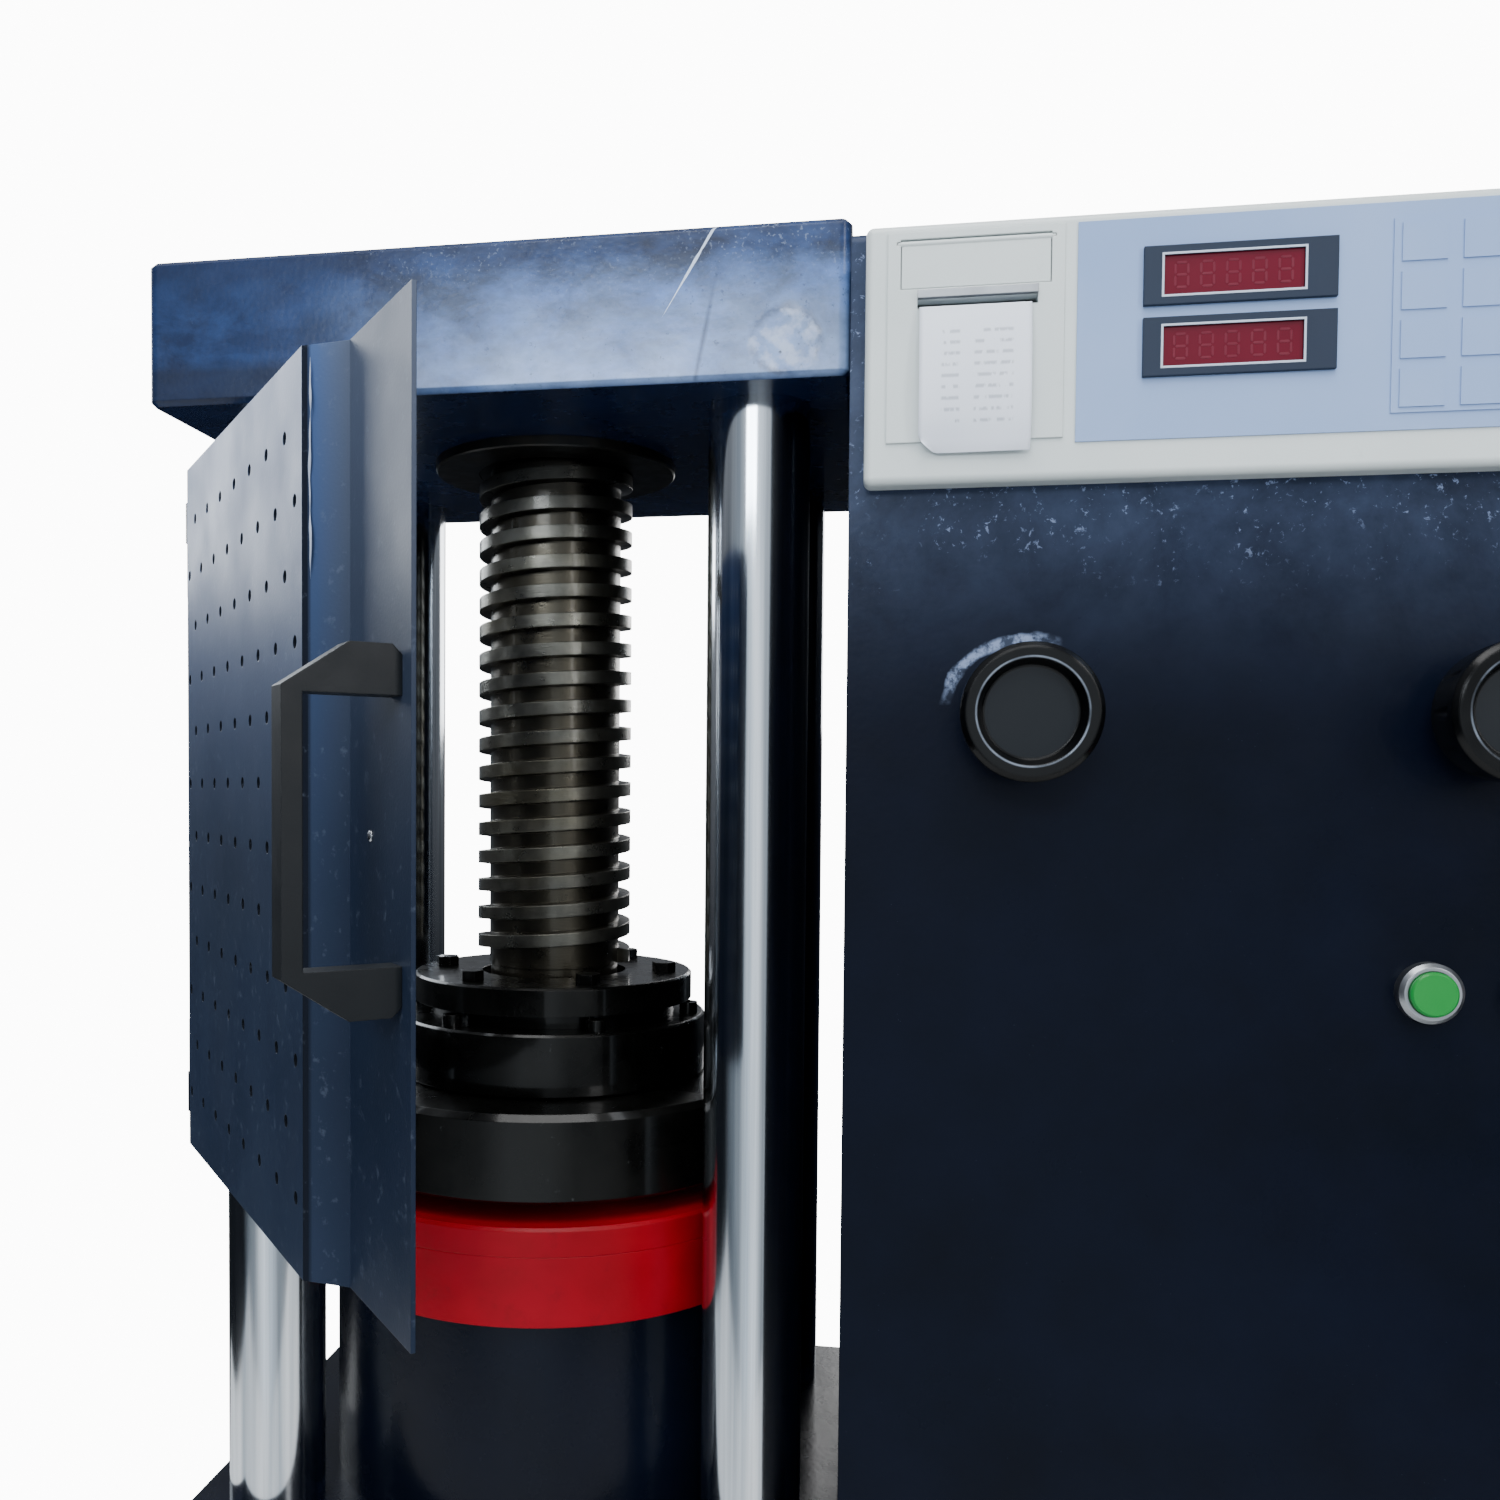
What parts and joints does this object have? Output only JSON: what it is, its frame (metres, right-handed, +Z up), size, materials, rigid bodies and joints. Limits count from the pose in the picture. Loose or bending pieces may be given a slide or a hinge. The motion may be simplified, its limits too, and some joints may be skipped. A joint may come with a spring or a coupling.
{
  "type": "compression testing machine",
  "caption": "Four-column hydraulic compression testing machine with screw-set upper platen, guard door and side console.",
  "frame": {"origin": "on the floor, on the axis of the lead screw, under the middle of the four columns", "axes": "+Z up, +X to the right towards the console, +Y to the back, operator in front at -Y"},
  "size_m": [0.8263, 0.6836, 1.224],
  "materials": {
    "navy_paint": "glossy dark navy enamel",
    "cabinet_paint": "dark navy textured enamel",
    "door_paint": "satin blue-grey enamel",
    "chrome": "hard chrome, polished",
    "thread_steel": "oiled dark steel",
    "plain_steel": "zinc plated steel",
    "black_steel": "black oxide, greased",
    "red_paint": "satin signal red enamel",
    "bronze": "machined bronze",
    "seal_rubber": "black nitrile",
    "cream_plastic": "pale grey-cream moulding",
    "label_film": "light blue printed film",
    "display_frame": "navy printed frame",
    "display_red": "dark red filter",
    "black_plastic": "black moulded grip",
    "paper_white": "thermal paper",
    "start_green": "green cap",
    "stop_red": "red cap",
    "grey_enamel": "grey enamel",
    "machined_iron": "machined iron"
  },
  "bodies": {
    "frame": {"stand": "navy_paint", "bed": "navy_paint", "column_front_left": "chrome", "column_front_right": "chrome", "column_rear_left": "chrome", "column_rear_right": "chrome", "top_nuts": "plain_steel", "bottom_nuts": "plain_steel", "crosshead": "navy_paint", "screw_nut": "bronze", "cylinder": "navy_paint", "piston_seal": "seal_rubber", "wiper_ring": "seal_rubber", "hinge_collars": "navy_paint", "hinge_pins": "plain_steel", "cabinet_shell": "cabinet_paint", "plinth": "navy_paint", "rear_cover": "cabinet_paint", "power_inlet": "black_plastic", "tie_bolts": "plain_steel", "panel_bezel": "cream_plastic", "panel_label": "label_film", "display_frames": "display_frame", "display_windows": "display_red", "keypad": "label_film", "printer_body": "cream_plastic", "tear_bar": "plain_steel", "paper": "paper_white", "roll_axle": "plain_steel", "valve_block": "machined_iron", "button_bezels": "plain_steel", "contact_blocks": "black_plastic", "oil_tank": "grey_enamel", "pump_motor": "grey_enamel", "pump": "machined_iron", "oil_pipe": "plain_steel"},
    "ram": {"piston": "chrome", "lower_platen": "red_paint", "dust_skirt": "red_paint"},
    "washer": {"thrust_washer": "black_steel"},
    "screw": {"lead_screw": "thread_steel", "handwheel": "thread_steel"},
    "platen_head": {"upper_platen": "black_steel", "ball_cap": "black_steel", "ball_seat": "black_steel", "retaining_ring": "black_steel", "ring_bolts": "black_steel", "seat_screws": "black_steel"},
    "door": {"door_panel": "door_paint", "door_handle": "black_plastic", "handle_screws": "plain_steel"},
    "load_valve": {"load_knob": "black_plastic", "load_spindle": "thread_steel"},
    "release_valve": {"release_knob": "black_plastic", "release_spindle": "thread_steel"},
    "start_button": {"start_button": "start_green"},
    "stop_button": {"stop_button": "stop_red"},
    "cover": {"printer_cover": "cream_plastic"},
    "roll": {"paper_roll": "paper_white"},
    "shaft": {"motor_shaft": "thread_steel"}
  },
  "joints": [
    {"name": "ram_lift", "type": "slide", "parent": "frame", "child": "ram", "axis": [0, 0, 1], "range_m": [-0.04, 0.005]},
    {"name": "screw_turn", "type": "hinge", "parent": "washer", "child": "screw", "pos_m": [0, 0, 0.712], "axis": [0, 0, 1], "range_deg": [0, 5400]},
    {"name": "platen_lift", "type": "slide", "parent": "frame", "child": "washer", "axis": [0, 0, 1], "range_m": [0, 0.3005]},
    {"name": "platen_tilt", "type": "hinge", "parent": "washer", "child": "platen_head", "pos_m": [0, 0, 0.623], "axis": [1, 0, 0], "range_deg": [-2, 2]},
    {"name": "door_swing", "type": "hinge", "parent": "frame", "child": "door", "pos_m": [-0.1851, -0.16725, 0.69], "axis": [0, 0, -1], "range_deg": [-50.3, 60]},
    {"name": "load_valve_turn", "type": "hinge", "parent": "frame", "child": "load_valve", "pos_m": [0.303, -0.228, 0.919], "axis": [0, -1, 0], "range_deg": [0, 540]},
    {"name": "release_valve_turn", "type": "hinge", "parent": "frame", "child": "release_valve", "pos_m": [0.523, -0.228, 0.919], "axis": [0, -1, 0], "range_deg": [0, 360]},
    {"name": "start_press", "type": "slide", "parent": "frame", "child": "start_button", "axis": [0, 1, 0], "range_m": [0, 0.004], "stiffness_N_per_m": 600},
    {"name": "stop_press", "type": "slide", "parent": "frame", "child": "stop_button", "axis": [0, 1, 0], "range_m": [0, 0.004], "stiffness_N_per_m": 600},
    {"name": "printer_cover_swing", "type": "hinge", "parent": "frame", "child": "cover", "pos_m": [0.2755, -0.2407, 1.1575], "axis": [-1, 0, 0], "range_deg": [0, 75]},
    {"name": "paper_roll_turn", "type": "hinge", "parent": "frame", "child": "roll", "pos_m": [0.2755, -0.2132, 1.1075], "axis": [1, 0, 0], "continuous": true},
    {"name": "pump_shaft_turn", "type": "hinge", "parent": "frame", "child": "shaft", "pos_m": [0.35, 0.034, 0.296], "axis": [0, 0, 1], "continuous": true}
  ],
  "couplings": [
    {"joint": "platen_lift", "follows": "screw_turn", "m_per_rad": 0.0031831}
  ]
}
